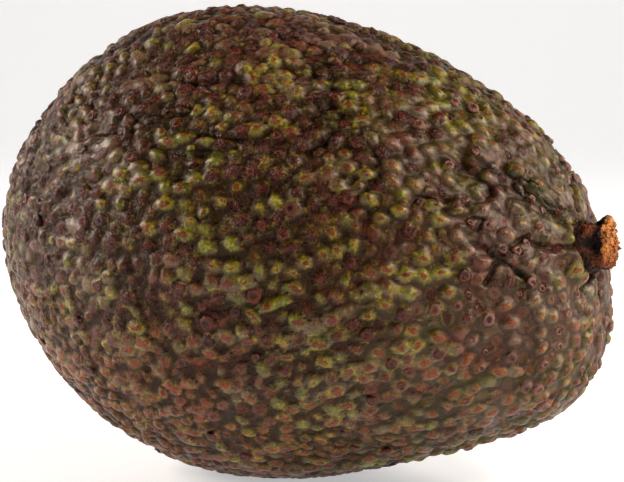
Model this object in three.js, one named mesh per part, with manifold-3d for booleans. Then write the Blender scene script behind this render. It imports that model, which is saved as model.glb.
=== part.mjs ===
// A ripe avocado with dark pebbled skin, lying on its side, with the corky stub of its stem still in
// the narrow end. Millimetres, +Z up. The origin is on the floor under the middle of the fruit and
// its stub, and +X runs towards the stem end.
import * as THREE from "three";
import { ConvexHull } from "three/addons/math/ConvexHull.js";
import { mergeVertices } from "three/addons/utils/BufferGeometryUtils.js";
import Module from "manifold-3d";

// The fruit's plain form, without its warts
const LENGTH = 95.5; // blossom end to stem end
const GIRTH = 69.4; // diameter at the middle of the length
const TAPER = [-0.17, -0.05, 0.14]; // how the girth changes along the length: slope, square, cube
const BOW = [2.1, 1.75, 6.8]; // how far the middle line rises, and its slope and square
const NOSE_DOWN = 11; // degrees that the stem end dips as the fruit lies at rest
const REST_SPOT = [-4, 0]; // middle of the flat spot that it rests on, from the form's middle
const REST_RADIUS = 6.5;
const REST_DEPTH = 0.75; // how much the lowest wart is pressed in

// Warts, drawn larger than life so that each one has a round top
const WARTS = 650;
const SHOULDER_REACH = 0.6; // how far out a wart's shoulder lies, as a share of its reach
const SHOULDER_HEIGHT = 0.72; // as a share of the wart's height
const WART_SIZE_SPREAD = 0.36; // share by which a wart may be smaller or larger than the mean
const WART_HEIGHT = 0.9; // of a wart of mean size
const WART_HEIGHT_SPREAD = 0.2;
const SETTLING_ROUNDS = 40; // rounds in which crowding warts push each other apart
const PUSH = 0.22;
const CROWDING = 0.95; // how far apart the warts want to be, as a share of an even spacing
const SEED = 20417;

// Slow swellings of the whole skin
const SWELL = 0.1;
const SWELL_WAVES = [
  [0.11, 0.07, 0.13, 0.4],
  [-0.08, 0.16, 0.05, 2.1],
  [0.06, -0.12, 0.18, 4.4],
];

// The stem's place, as a direction from the middle of the fruit's plain form, and its lie
const STEM_SPOT = new THREE.Vector3(0.918, -0.131, 0.376).normalize();
const STEM_RISE = 6.6; // degrees above the floor's plane
const STEM_TURN = 4.5; // degrees from +X towards +Y

// The dimple that the stem sits in, and its raised lip
const DIMPLE_DEPTH = 0.7;
const DIMPLE_REACH = 6.5;
const LIP_HEIGHT = 0.4;
const LIP_LEAN = 1.5; // how much higher the lip is on the side that faces -Y
const LIP_RADIUS = 5.4;
const LIP_WIDTH = 1.6;
const POCKET_RADIUS = 4.2;
const POCKET_DEPTH = 2.2;
const POCKET_ROUNDING = 0.5; // of the edge of its floor
const POCKET_FLARE = 0.3; // how much wider its mouth is
const POCKET_MOUTH = 6.6; // height above its floor up to which it is cut, clear of the lip
const SEAT_GAP = 0.02; // between the pocket's floor and the stub's base

// Creases of the skin, each a run of [degrees round the stem, millimetres from it]. Nought degrees is
// straight up, and 90 is the side that faces -Y.
const CREASE_WIDTH = 1.3;
const CREASE_DEPTH = 0.9;
const CREASES = [
  [[42, 6], [48, 8], [48, 11], [50, 14], [48, 16], [44, 18.5]],
  [[93, 6], [93, 9.5], [92, 12], [90, 14.5], [87, 16], [93, 19], [98, 21.5]],
  [[90, 25.5], [93, 23.5], [98, 21.5], [102, 20], [107, 18]],
  [[98, 21.5], [102, 23.5], [108, 25.5]],
  [[165, 6], [151, 8]],
  [[208, 6], [211, 10], [217, 14.5]],
  [[285, 6], [276, 12], [284, 18]],
  [[340, 7], [330, 13]],
];

// The stub: a short corky stalk that flares to a broken, fibrous end
const STUB_PROFILE = [ // [millimetres from the base, radius]
  [0, 2.9],
  [0.5, 3.5],
  [1.9, 3.75],
  [2.6, 3.5],
  [3.3, 3.35],
  [4.1, 3.4],
  [4.7, 3.65],
  [5.2, 3.85],
  [5.7, 3.5],
];
const STUB_END_RINGS = [[2.6, 0.45], [1.4, 0.65], [0, 0.7]]; // [radius, rise above the rim]
const STUB_SIDES = 36;
const STUB_ROUGH = 0.24; // ragged ups and downs of bark and broken wood
const BARK_WAVES = [[1, 5, 3], [0.7, 9, -2.3], [0.5, 14, 1]]; // [share, waves round, slant]
const STUB_FOOT = 0.4; // up to here from the base nothing juts, so that it fits the pocket
const BURIED_ROUGH = 0.3; // share of the bark's roughness that is left there
const SPLINTER_LIFT = 0.5; // how much the splinter rises for each millimetre that it juts out
// Ups and downs of the torn wood, each [radians a turn or a millimetre, radians at the start]
const TORN_FROM = 0.5; // they begin this far below the rim
const TORN_ROUND = [3, 1];
const TORN_ACROSS = [[1.9, 0.5], [2.3, 2.77]];
// Lumps of the bark and hollows between them: [millimetres from the base, degrees round the stub,
// reach, rise]. Nought degrees is the stub's upper side, and 90 is the side that faces -Y.
const STUB_LUMPS = [
  [3.1, 40, 1.1, 0.6],
  [4.3, 12, 0.8, -0.5],
  [4.7, 122, 1.4, 0.7],
  [3.9, 82, 1.1, -0.75],
  [3.4, 215, 1.5, 0.5],
  [4.6, 290, 1.3, 0.45],
  [3.6, 255, 1, -0.5],
  [5.6, 165, 1.7, -0.9],
];
const STUB_SPLINTER = [5.5, -8, 1.1, 0.7]; // the point of the torn end, given as a lump is

const SKIN_COLOUR = 0x4a3d33;
const STUB_COLOUR = 0x6b3f20;

const wasm = await Module();
wasm.setup();

// The point of the plain form in the direction of a unit vector, in the fruit's own upright frame:
// x along its length, z up.
function formPoint(unit) {
  const x = unit.x;
  const girth = 1 + TAPER[0] * x + TAPER[1] * x ** 2 + TAPER[2] * x ** 3;
  const middle = (1 - x ** 2) * (BOW[0] + BOW[1] * x + BOW[2] * x ** 2);
  const point = new THREE.Vector3(
    (LENGTH / 2) * x,
    (GIRTH / 2) * girth * unit.y,
    middle + (GIRTH / 2) * girth * unit.z,
  );
  return point.applyAxisAngle(new THREE.Vector3(0, 1, 0), THREE.MathUtils.degToRad(NOSE_DOWN));
}

// The outward normal of the plain form there, from two short steps along the surface
function formNormal(unit) {
  const step = 1e-3;
  const across = new THREE.Vector3(0, 0, 1).cross(unit);
  if (across.lengthSq() < 1e-6) across.set(1, 0, 0);
  across.normalize();
  const along = unit.clone().cross(across);
  const here = formPoint(unit);
  const a = formPoint(unit.clone().addScaledVector(across, step).normalize()).sub(here);
  const b = formPoint(unit.clone().addScaledVector(along, step).normalize()).sub(here);
  return a.cross(b).normalize();
}

// A unit vector some millimetres from the stem, in a direction round it
function aroundStem(degrees, distance) {
  const meanRadius = (LENGTH + GIRTH) / 4;
  const up = new THREE.Vector3(0, 0, 1).addScaledVector(STEM_SPOT, -STEM_SPOT.z).normalize();
  const side = up.clone().cross(STEM_SPOT);
  const turn = THREE.MathUtils.degToRad(degrees);
  const reach = distance / meanRadius;
  return STEM_SPOT.clone()
    .multiplyScalar(Math.cos(reach))
    .addScaledVector(up, Math.sin(reach) * Math.cos(turn))
    .addScaledVector(side, -Math.sin(reach) * Math.sin(turn));
}

const creaseLines = CREASES.map((run) =>
  run.map(([degrees, distance]) => formPoint(aroundStem(degrees, distance))),
);

// How deep the creases are at a point
function creaseDepth(point) {
  const nearest = new THREE.Vector3();
  let best = Infinity;
  for (const line of creaseLines)
    for (let i = 1; i < line.length; i++) {
      new THREE.Line3(line[i - 1], line[i]).closestPointToPoint(point, true, nearest);
      best = Math.min(best, nearest.distanceTo(point));
    }
  return CREASE_DEPTH * Math.exp(-((best / CREASE_WIDTH) ** 2));
}

const stemFoot = formPoint(STEM_SPOT);

// How far the bare skin stands off the plain form: slow swellings, the stem's dimple and the creases
function skinRise(point) {
  let rise = 0;
  for (const [x, y, z, phase] of SWELL_WAVES)
    rise += SWELL * Math.sin(point.x * x + point.y * y + point.z * z + phase);
  const away = point.distanceTo(stemFoot);
  rise -= DIMPLE_DEPTH * Math.exp(-((away / DIMPLE_REACH) ** 2));
  const lean = (LIP_LEAN * Math.max(0, stemFoot.y - point.y)) / Math.max(away, 1);
  rise += (LIP_HEIGHT + lean) * Math.exp(-(((away - LIP_RADIUS) / LIP_WIDTH) ** 2));
  return rise - creaseDepth(point);
}

// The warts' places: an even spiral, each wart given a size, then pushed apart by their crowding
function placeWarts() {
  const random = THREE.MathUtils.seededRandom;
  random(SEED);
  const golden = Math.PI * (3 - Math.sqrt(5));
  const warts = [];
  for (let i = 0; i < WARTS; i++) {
    const x = 1 - (2 * i + 1) / WARTS;
    const turn = golden * i + random();
    const unit = new THREE.Vector3(x, 0, Math.sqrt(1 - x ** 2));
    unit.applyAxisAngle(new THREE.Vector3(1, 0, 0), turn);
    const size = 1 + WART_SIZE_SPREAD * (2 * random() - 1);
    const height = WART_HEIGHT * size * (1 + WART_HEIGHT_SPREAD * (2 * random() - 1));
    warts.push({ unit, size, height });
  }
  const evenSpacing = 2 * Math.sqrt((4 * Math.PI) / WARTS / (2 * Math.sqrt(3)));
  for (let round = 0; round < SETTLING_ROUNDS; round++) {
    const moves = warts.map(() => new THREE.Vector3());
    for (let i = 0; i < WARTS; i++)
      for (let j = i + 1; j < WARTS; j++) {
        const apart = warts[i].unit.clone().sub(warts[j].unit);
        const wanted = (CROWDING * evenSpacing * (warts[i].size + warts[j].size)) / 2;
        const lack = wanted - apart.length();
        if (lack <= 0) continue;
        apart.setLength(PUSH * lack);
        moves[i].add(apart);
        moves[j].sub(apart);
      }
    warts.forEach((wart, i) => wart.unit.add(moves[i]).normalize());
  }
  return warts;
}

// The skin with its warts. The wart tops are joined into triangles by their convex hull on the unit
// sphere. The middles of those triangles are the corners of the valleys, and each wart has a ring of
// shoulder points, one towards each of its valley corners.
function pebbledSkin(warts) {
  const points = [];
  const addPoint = (unit, rise) => {
    const point = formPoint(unit);
    points.push(point.addScaledVector(formNormal(unit), skinRise(point) + rise));
    return points.length - 1;
  };
  const indexOf = new Map(warts.map((wart) => [wart.unit, addPoint(wart.unit, wart.height)]));
  const shoulders = new Map();
  const valleys = new Map();
  const faces = new ConvexHull().setFromPoints(warts.map((wart) => wart.unit)).faces;
  const edgesOf = (face) => [face.edge, face.edge.next, face.edge.prev];
  for (const face of faces) {
    const corners = edgesOf(face).map((edge) => warts[indexOf.get(edge.head().point)]);
    const corner = new THREE.Vector3();
    for (const wart of corners) corner.addScaledVector(wart.unit, 1 / wart.size);
    corner.normalize();
    valleys.set(face, addPoint(corner, 0));
    for (const edge of edgesOf(face)) {
      const wart = warts[indexOf.get(edge.head().point)];
      const unit = wart.unit.clone().lerp(corner, SHOULDER_REACH).normalize();
      shoulders.set(edge, addPoint(unit, wart.height * SHOULDER_HEIGHT));
    }
  }
  const index = [];
  for (const face of faces)
    for (const edge of edgesOf(face)) {
      const [valley, nextValley] = [valleys.get(face), valleys.get(edge.twin.face)];
      const [shoulder, nextShoulder] = [shoulders.get(edge), shoulders.get(edge.twin.prev)];
      index.push(indexOf.get(edge.head().point), shoulder, nextShoulder);
      index.push(shoulder, valley, nextShoulder, valley, nextValley, nextShoulder);
    }
  pressFlat(points);
  const geometry = new THREE.BufferGeometry().setFromPoints(points);
  geometry.setIndex(index);
  return geometry;
}

// The skin is pressed flat where it rests, into one round spot.
function pressFlat(points) {
  const floor = Math.min(...points.map((point) => point.z)) + REST_DEPTH;
  for (const point of points) {
    const inSpot = Math.hypot(point.x - REST_SPOT[0], point.y - REST_SPOT[1]) < REST_RADIUS && point.z < 0;
    point.z = inSpot ? floor : Math.max(point.z, floor);
  }
}

// A closed geometry as a solid that can be cut
function solidOf(geometry) {
  const bare = geometry.clone();
  bare.deleteAttribute("normal");
  bare.deleteAttribute("uv");
  const merged = mergeVertices(bare, 1e-4);
  const corners = merged.index.array;
  const kept = [];
  for (let i = 0; i < corners.length; i += 3) {
    const [a, b, c] = corners.slice(i, i + 3);
    if (a !== b && b !== c && c !== a) kept.push(a, b, c);
  }
  const vertProperties = merged.attributes.position.array;
  return new wasm.Manifold(new wasm.Mesh({ numProp: 3, vertProperties, triVerts: new Uint32Array(kept) }));
}

function geometryOf(solid) {
  const mesh = solid.getMesh();
  const geometry = new THREE.BufferGeometry();
  geometry.setAttribute("position", new THREE.BufferAttribute(mesh.vertProperties, 3));
  geometry.setIndex(new THREE.BufferAttribute(mesh.triVerts, 1));
  geometry.computeVertexNormals();
  return geometry;
}

// The stem's axis, and the matrix that stands a piece made along +Y on the pocket's floor
const stemAxis = new THREE.Vector3(1, 0, 0)
  .applyAxisAngle(new THREE.Vector3(0, 0, 1), THREE.MathUtils.degToRad(STEM_TURN))
  .applyAxisAngle(new THREE.Vector3(0, 1, 0), THREE.MathUtils.degToRad(-STEM_RISE));
const stemLie = new THREE.Matrix4().makeRotationFromQuaternion(
  new THREE.Quaternion().setFromUnitVectors(new THREE.Vector3(0, 1, 0), stemAxis),
);
stemLie.setPosition(stemFoot.clone().addScaledVector(stemAxis, -POCKET_DEPTH));

// The pocket that the stub stands in, as the solid to cut away
function pocket() {
  const profile = [
    new THREE.Vector2(0, 0),
    new THREE.Vector2(POCKET_RADIUS - POCKET_ROUNDING, 0),
    new THREE.Vector2(POCKET_RADIUS, POCKET_ROUNDING),
    new THREE.Vector2(POCKET_RADIUS + POCKET_FLARE, POCKET_MOUTH),
    new THREE.Vector2(0, POCKET_MOUTH),
  ];
  return new THREE.LatheGeometry(profile, STUB_SIDES).applyMatrix4(stemLie);
}

// How far a lump of the stub stands out at a place on it
function lumpRise([along, degrees, reach, rise], y, turn, radius) {
  const apart = turn - THREE.MathUtils.degToRad(degrees);
  const across = Math.atan2(Math.sin(apart), Math.cos(apart)) * radius;
  return rise * Math.exp(-((y - along) ** 2 + across ** 2) / reach ** 2);
}

function wave([pace, start], along) {
  return Math.sin(pace * along + start);
}

// The stub: a turned profile with lumps and hollows, made ragged, more so towards the broken end
function stub() {
  const end = STUB_PROFILE[STUB_PROFILE.length - 1][0];
  const profile = [
    new THREE.Vector2(0, 0),
    ...STUB_PROFILE.map(([y, radius]) => new THREE.Vector2(radius, y)),
    ...STUB_END_RINGS.map(([radius, rise]) => new THREE.Vector2(radius, end + rise)),
  ];
  const geometry = new THREE.LatheGeometry(profile, STUB_SIDES);
  const position = geometry.attributes.position;
  for (let i = 0; i < position.count; i++) {
    const [x, y, z] = [position.getX(i), position.getY(i), position.getZ(i)];
    const radius = Math.hypot(x, z);
    const turn = radius < 1e-6 ? 0 : Math.atan2(x, z);
    const free = THREE.MathUtils.smoothstep(y, STUB_FOOT, end / 2);
    const splinter = lumpRise(STUB_SPLINTER, y, turn, radius);
    let lumps = splinter;
    for (const lump of STUB_LUMPS) lumps += lumpRise(lump, y, turn, radius);
    let ragged = 0;
    for (const [share, round, slant] of BARK_WAVES) ragged += share * Math.sin(round * turn + slant * y);
    const rough = (STUB_ROUGH / 2) * ragged * THREE.MathUtils.lerp(BURIED_ROUGH, 1, free);
    const scale = 1 + (lumps * free + rough) / STUB_PROFILE[2][1];
    const broken = THREE.MathUtils.smoothstep(y, end - TORN_FROM, end);
    const waves = wave(TORN_ROUND, turn) + wave(TORN_ACROSS[0], x) * wave(TORN_ACROSS[1], z);
    const torn = broken * (STUB_ROUGH * waves + SPLINTER_LIFT * splinter);
    position.setXYZ(i, x * scale, y + SEAT_GAP + torn, z * scale);
  }
  return geometry.applyMatrix4(stemLie);
}

function piece(name, solid, colour, roughness) {
  const material = new THREE.MeshStandardMaterial({ color: colour, roughness, metalness: 0 });
  const mesh = new THREE.Mesh(geometryOf(solid), material);
  mesh.name = name;
  return mesh;
}

const avocado = new THREE.Group();
avocado.add(
  piece("fruit", solidOf(pebbledSkin(placeWarts())).subtract(solidOf(pocket())), SKIN_COLOUR, 0.6),
  piece("stem_stub", solidOf(stub()), STUB_COLOUR, 0.9),
);

// The whole thing is moved so that its box stands on the origin.
const box = new THREE.Box3().setFromObject(avocado, true);
const middle = box.getCenter(new THREE.Vector3());
avocado.position.set(-middle.x, -middle.y, -box.min.z);

export default avocado;
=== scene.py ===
"""A ripe avocado with dark pebbled skin and the corky stub of its stem, lying on a pale floor.

The skin follows the same plain form as the CAD model. Its warts, creases and stem dimple are raised by
Geometry Nodes, and the same pattern is read again by the skin's material, so that colour and relief meet.
"""

import logging
import math
from dataclasses import dataclass, field
from enum import Enum
from typing import Any, Callable, Union

import bmesh
import bpy
from mathutils import Matrix, Vector, noise


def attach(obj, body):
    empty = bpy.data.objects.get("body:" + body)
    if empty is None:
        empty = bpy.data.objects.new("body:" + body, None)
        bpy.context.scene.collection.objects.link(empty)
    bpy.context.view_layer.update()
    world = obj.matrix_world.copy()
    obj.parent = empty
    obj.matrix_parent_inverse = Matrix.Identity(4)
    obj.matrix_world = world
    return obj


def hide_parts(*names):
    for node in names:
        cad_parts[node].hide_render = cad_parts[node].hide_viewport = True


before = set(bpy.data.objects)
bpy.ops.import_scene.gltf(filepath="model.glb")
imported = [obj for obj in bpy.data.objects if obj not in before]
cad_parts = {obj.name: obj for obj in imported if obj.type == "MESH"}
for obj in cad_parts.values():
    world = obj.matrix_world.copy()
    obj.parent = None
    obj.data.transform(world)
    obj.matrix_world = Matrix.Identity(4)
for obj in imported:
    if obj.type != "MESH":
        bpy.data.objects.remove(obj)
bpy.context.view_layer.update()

log = logging.getLogger("avocado")
MM = 0.001


def _operator(operation: str, swapped: bool = False) -> Callable[["Wire", "Term"], "Wire"]:
    """Makes an operator of a wire.

    Args:
        operation: What its Math node does.
        swapped: Whether the wire is the second term.

    Returns:
        The method.
    """

    def method(wire: "Wire", other: "Term") -> "Wire":
        """Returns the operation's result."""
        terms = (other, wire) if swapped else (wire, other)
        return wire.graph.math(operation, *terms)

    return method


class Wire:
    """A socket of a node tree that Python's operators can work on."""

    def __init__(self, graph: "Graph", socket: bpy.types.NodeSocket) -> None:
        """Wraps an output socket of a tree."""
        self.graph = graph
        self.socket = socket

    @property
    def is_vector(self) -> bool:
        """Whether the socket carries a vector or a colour."""
        return self.socket.type in {"VECTOR", "RGBA"}

    __add__ = _operator("ADD")
    __radd__ = _operator("ADD", swapped=True)
    __sub__ = _operator("SUBTRACT")
    __rsub__ = _operator("SUBTRACT", swapped=True)
    __mul__ = _operator("MULTIPLY")
    __rmul__ = _operator("MULTIPLY", swapped=True)
    __truediv__ = _operator("DIVIDE")
    __pow__ = _operator("POWER")

    def __neg__(self) -> "Wire":
        """Returns the negative."""
        return self.graph.math("MULTIPLY", self, -1.0)


Term = Union[Wire, float, tuple[float, float, float]]


class Graph:
    """A node tree, with short ways to add nodes to it."""

    NUMBER_RESULTS = {"LENGTH", "DISTANCE", "DOT_PRODUCT"}

    def __init__(self, tree: bpy.types.NodeTree) -> None:
        """Empties a shader or geometry node tree and takes it over."""
        self.tree = tree
        tree.nodes.clear()

    def node(
        self,
        kind: str,
        settings: dict[str, Any] | None = None,
        inputs: dict[Any, Any] | None = None,
    ) -> bpy.types.Node:
        """Adds a node.

        Args:
            kind: The node's type.
            settings: Its properties, set first.
            inputs: Values or wires, by the name or number of the input socket.

        Returns:
            The node.
        """
        node = self.tree.nodes.new(kind)
        for name, value in (settings or {}).items():
            setattr(node, name, value)
        for name, value in (inputs or {}).items():
            if isinstance(value, Wire):
                self.tree.links.new(value.socket, node.inputs[name])
            else:
                node.inputs[name].default_value = value
        return node

    def wire(self, node: bpy.types.Node, output: Any = 0) -> Wire:
        """Returns a wire from an output of a node."""
        return Wire(self, node.outputs[output])

    def math(self, operation: str, *terms: Term) -> Wire:
        """Adds a Math node, or a Vector Math node where a term is a vector.

        Args:
            operation: The name of the operation.
            terms: Its values or wires.

        Returns:
            The result.
        """
        if operation == "SCALE":
            inputs = {"Vector": terms[0], "Scale": terms[1]}
            return self.wire(self.node("ShaderNodeVectorMath", {"operation": operation}, inputs))
        is_vector = any(isinstance(t, tuple) or (isinstance(t, Wire) and t.is_vector) for t in terms)
        if not is_vector:
            return self.wire(self.node("ShaderNodeMath", {"operation": operation}, dict(enumerate(terms))))
        spread = [(t,) * 3 if isinstance(t, (int, float)) else t for t in terms]
        node = self.node("ShaderNodeVectorMath", {"operation": operation}, dict(enumerate(spread)))
        return self.wire(node, 1 if operation in self.NUMBER_RESULTS else 0)

    def parts(self, vector: Wire) -> tuple[Wire, Wire, Wire]:
        """Returns the x, y and z of a vector."""
        node = self.node("ShaderNodeSeparateXYZ", None, {0: vector})
        return self.wire(node, 0), self.wire(node, 1), self.wire(node, 2)

    def vector(self, x: Term, y: Term, z: Term) -> Wire:
        """Returns a vector made of three numbers."""
        return self.wire(self.node("ShaderNodeCombineXYZ", None, {0: x, 1: y, 2: z}))

    def step(self, value: Wire, low: Term, high: Term) -> Wire:
        """Adds a smooth step.

        Args:
            value: The number that is looked at.
            low: Where the step begins.
            high: Where it is full, above low or below it.

        Returns:
            0 before the step, 1 after it and a smooth rise between.
        """
        settings = {"interpolation_type": "SMOOTHSTEP"}
        inputs = {"Value": value, "From Min": low, "From Max": high}
        return self.wire(self.node("ShaderNodeMapRange", settings, inputs), "Result")

    def bell(self, value: Wire, middle: float, width: Term) -> Wire:
        """Returns 1 where value is middle, and less and less to both sides of it."""
        return self.math("EXPONENT", -(((value - middle) / width) ** 2.0))

    def between(self, value: Term, low: Term, high: Term) -> Wire:
        """Returns low where value is 0, high where it is 1."""
        return low + (high - low) * value

    def paint(self, share: Wire, under: Term, over: Term) -> Wire:
        """Mixes two colours.

        Args:
            share: How much of the second colour, nought to one.
            under: The first colour.
            over: The second colour.

        Returns:
            The mixed colour.
        """
        full = [(*c, 1.0) if isinstance(c, tuple) else c for c in (under, over)]
        settings = {"data_type": "RGBA", "clamp_factor": True}
        node = self.node("ShaderNodeMix", settings, {"Factor": share, 6: full[0], 7: full[1]})
        return self.wire(node, 2)

    def noise(self, place: Wire, grain: float, detail: float = 2.0, rough: float = 0.5) -> Wire:
        """Returns a noise of nought to one. Its grain is the size of its lumps in millimetres."""
        return self.wire(self._noise_node(place, grain, detail, rough), 0)

    def noise_vector(self, place: Wire, grain: float, detail: float = 1.0) -> Wire:
        """Returns a noise vector about nought, each part from -0.5 to 0.5."""
        return self.wire(self._noise_node(place, grain, detail, 0.5), 1) - (0.5, 0.5, 0.5)

    def _noise_node(self, place: Wire, grain: float, detail: float, rough: float) -> bpy.types.Node:
        """Returns the noise node itself."""
        inputs = {"Vector": place, "Scale": 1.0 / grain, "Detail": detail, "Roughness": rough}
        return self.node("ShaderNodeTexNoise", {"noise_dimensions": "3D"}, inputs)

    def attribute(self, name: str, output: str = "Vector") -> Wire:
        """Returns a value that the piece keeps under a name, in a material."""
        return self.wire(self.node("ShaderNodeAttribute", {"attribute_name": name}), output)


Colour = tuple[float, float, float]
Band = tuple[float, float]  # where something begins and where it is full


def srgb(red: int, green: int, blue: int) -> Colour:
    """Returns the linear colour of three sRGB values of 0 to 255."""
    parts = [c / 255.0 for c in (red, green, blue)]
    return tuple(c / 12.92 if c <= 0.04045 else ((c + 0.055) / 1.055) ** 2.4 for c in parts)


def add_object(name: str, data: bpy.types.ID) -> bpy.types.Object:
    """Adds an object to the scene.

    Args:
        name: Its name.
        data: Its mesh, light or camera.

    Returns:
        The object.
    """
    added = bpy.data.objects.new(name, data)
    bpy.context.scene.collection.objects.link(added)
    return added


def ring_faces(rings: int, sides: int) -> list[tuple[int, ...]]:
    """Joins rings of points with faces.

    Args:
        rings: The number of rings after the first.
        sides: The number of points in each.

    Returns:
        The numbers of each face's points.
    """
    faces = []
    for first in range(0, rings * sides, sides):
        for side in range(sides):
            a = first + side
            b = first + (side + 1) % sides
            faces.append((a, b, b + sides, a + sides))
    return faces


class MaterialTree(Graph):
    """A new material's tree, which ends in one shader."""

    def __init__(self, name: str) -> None:
        """Starts a material.

        Args:
            name: The material's name.
        """
        self.material = bpy.data.materials.new(name)
        self.material.use_nodes = True
        super().__init__(self.material.node_tree)

    def object_place(self) -> Wire:
        """Returns the place on the piece, in millimetres."""
        return self.wire(self.node("ShaderNodeTexCoord"), "Object") / MM

    def finish(self, looks: dict[str, Any], relief: Wire | None = None) -> bpy.types.Material:
        """Ends the tree in its shader.

        Args:
            looks: Values or wires of the shader's sockets.
            relief: Height of the fine relief in millimetres, where there is one.

        Returns:
            The material.
        """
        if relief is not None:
            inputs = {"Strength": 1.0, "Distance": MM, "Height": relief}
            looks = looks | {"Normal": self.wire(self.node("ShaderNodeBump", None, inputs))}
        shader = self.node("ShaderNodeBsdfPrincipled", None, looks)
        self.node("ShaderNodeOutputMaterial", None, {0: self.wire(shader)})
        return self.material


class GeometryTree(Graph):
    """A Geometry Nodes tree with named inputs, which turns a mesh into a finished mesh."""

    def __init__(self, name: str) -> None:
        """Starts a tree with a geometry input and output.

        Args:
            name: The tree's name.
        """
        super().__init__(bpy.data.node_groups.new(name, "GeometryNodeTree"))
        self.tree.interface.new_socket("Geometry", in_out="INPUT", socket_type="NodeSocketGeometry")
        self.tree.interface.new_socket("Geometry", in_out="OUTPUT", socket_type="NodeSocketGeometry")
        self.group_input = self.node("NodeGroupInput")
        self.values: dict[str, float] = {}

    @property
    def given(self) -> Wire:
        """The geometry that the tree is given."""
        return self.wire(self.group_input, 0)

    def size(self, name: str, value: float) -> Wire:
        """Adds a named input.

        Args:
            name: The input's name.
            value: The value that the modifier gives it.

        Returns:
            The input, as a wire.
        """
        socket = self.tree.interface.new_socket(name, in_out="INPUT", socket_type="NodeSocketFloat")
        self.values[socket.identifier] = value
        return self.wire(self.group_input, name)

    def position(self) -> Wire:
        """Returns the position field."""
        return self.wire(self.node("GeometryNodeInputPosition"))

    def normal(self) -> Wire:
        """Returns the normal field."""
        return self.wire(self.node("GeometryNodeInputNormal"))

    def place(self, geometry: Wire, position: Wire) -> Wire:
        """Returns the geometry with its points moved to a position."""
        inputs = {"Geometry": geometry, "Position": position}
        return self.wire(self.node("GeometryNodeSetPosition", None, inputs))

    def store(self, geometry: Wire, name: str, value: Wire) -> Wire:
        """Keeps a value on the points of a geometry.

        Args:
            geometry: The geometry.
            name: The name that the value is kept under.
            value: A number or a vector for each point.

        Returns:
            The geometry with its value.
        """
        settings = {"data_type": "FLOAT_VECTOR" if value.is_vector else "FLOAT", "domain": "POINT"}
        inputs = {"Geometry": geometry, "Name": name, "Value": value}
        return self.wire(self.node("GeometryNodeStoreNamedAttribute", settings, inputs))

    def named(self, name: str, kind: str = "FLOAT") -> Wire:
        """Returns a value that was kept on the points under a name."""
        return self.wire(self.node("GeometryNodeInputNamedAttribute", {"data_type": kind}, {0: name}))

    def on(self, domain: str, value: Wire) -> Wire:
        """Returns a number averaged onto a domain, such as the edges."""
        settings = {"data_type": "FLOAT", "domain": domain}
        return self.wire(self.node("GeometryNodeFieldOnDomain", settings, {0: value}))

    def random(self, seed: int, low: Colour = (0.0, 0.0, 0.0), high: Colour = (1.0, 1.0, 1.0)) -> Wire:
        """Returns three random numbers for each point, between low and high."""
        inputs = {0: low, 1: high, "Seed": seed}
        return self.wire(self.node("FunctionNodeRandomValue", {"data_type": "FLOAT_VECTOR"}, inputs))

    def beside_change(self, value: Wire) -> Wire:
        """Finds the lines along which a whole number changes.

        Args:
            value: The number of each point.

        Returns:
            1 on the corners of every face on which the number isn't the same all over, 0 elsewhere.
        """
        ends = self.node("GeometryNodeInputMeshEdgeVertices")
        settings = {"data_type": "FLOAT", "domain": "POINT"}
        first, second = (
            self.wire(self.node("GeometryNodeFieldAtIndex", settings, {0: value, 1: self.wire(ends, end)}))
            for end in (0, 1)
        )
        changed = self.math("GREATER_THAN", self.math("ABSOLUTE", first - second), 0.5)
        at_edge = self.math("GREATER_THAN", self.on("POINT", self.on("EDGE", changed)), 0.001)
        at_face = self.math("GREATER_THAN", self.on("FACE", at_edge), 0.3)
        return self.math("GREATER_THAN", self.on("POINT", at_face), 0.001)

    def sample(self, geometry: Wire, value: Wire, index: Wire) -> Wire:
        """Reads a value of another geometry.

        Args:
            geometry: The other geometry.
            value: A vector for each of its points.
            index: Which of its points is read.

        Returns:
            The vector that this point has.
        """
        settings = {"data_type": "FLOAT_VECTOR", "domain": "POINT"}
        inputs = {"Geometry": geometry, "Value": value, "Index": index}
        return self.wire(self.node("GeometryNodeSampleIndex", settings, inputs))

    def make(
        self,
        geometry: Wire,
        source: bpy.types.Mesh,
        name: str,
        material: bpy.types.Material,
    ) -> bpy.types.Object:
        """Ends the tree, runs it on a mesh and keeps the result as a plain mesh.

        Args:
            geometry: What the tree gives back.
            source: The mesh that the tree is given.
            name: The new object's name.
            material: The new object's material.

        Returns:
            The new object.
        """
        realized = self.wire(self.node("GeometryNodeRealizeInstances", None, {0: geometry}))
        inputs = {"Geometry": realized, "Material": material}
        dressed = self.wire(self.node("GeometryNodeSetMaterial", None, inputs))
        self.node("NodeGroupOutput", None, {0: dressed})
        obj = add_object(name, source)
        modifier = obj.modifiers.new(name, "NODES")
        modifier.node_group = self.tree
        for identifier, value in self.values.items():
            modifier[identifier] = value
        evaluated = obj.evaluated_get(bpy.context.evaluated_depsgraph_get())
        mesh = bpy.data.meshes.new_from_object(evaluated)
        mesh.name = name
        obj.modifiers.remove(modifier)
        obj.data = mesh
        return obj


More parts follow.
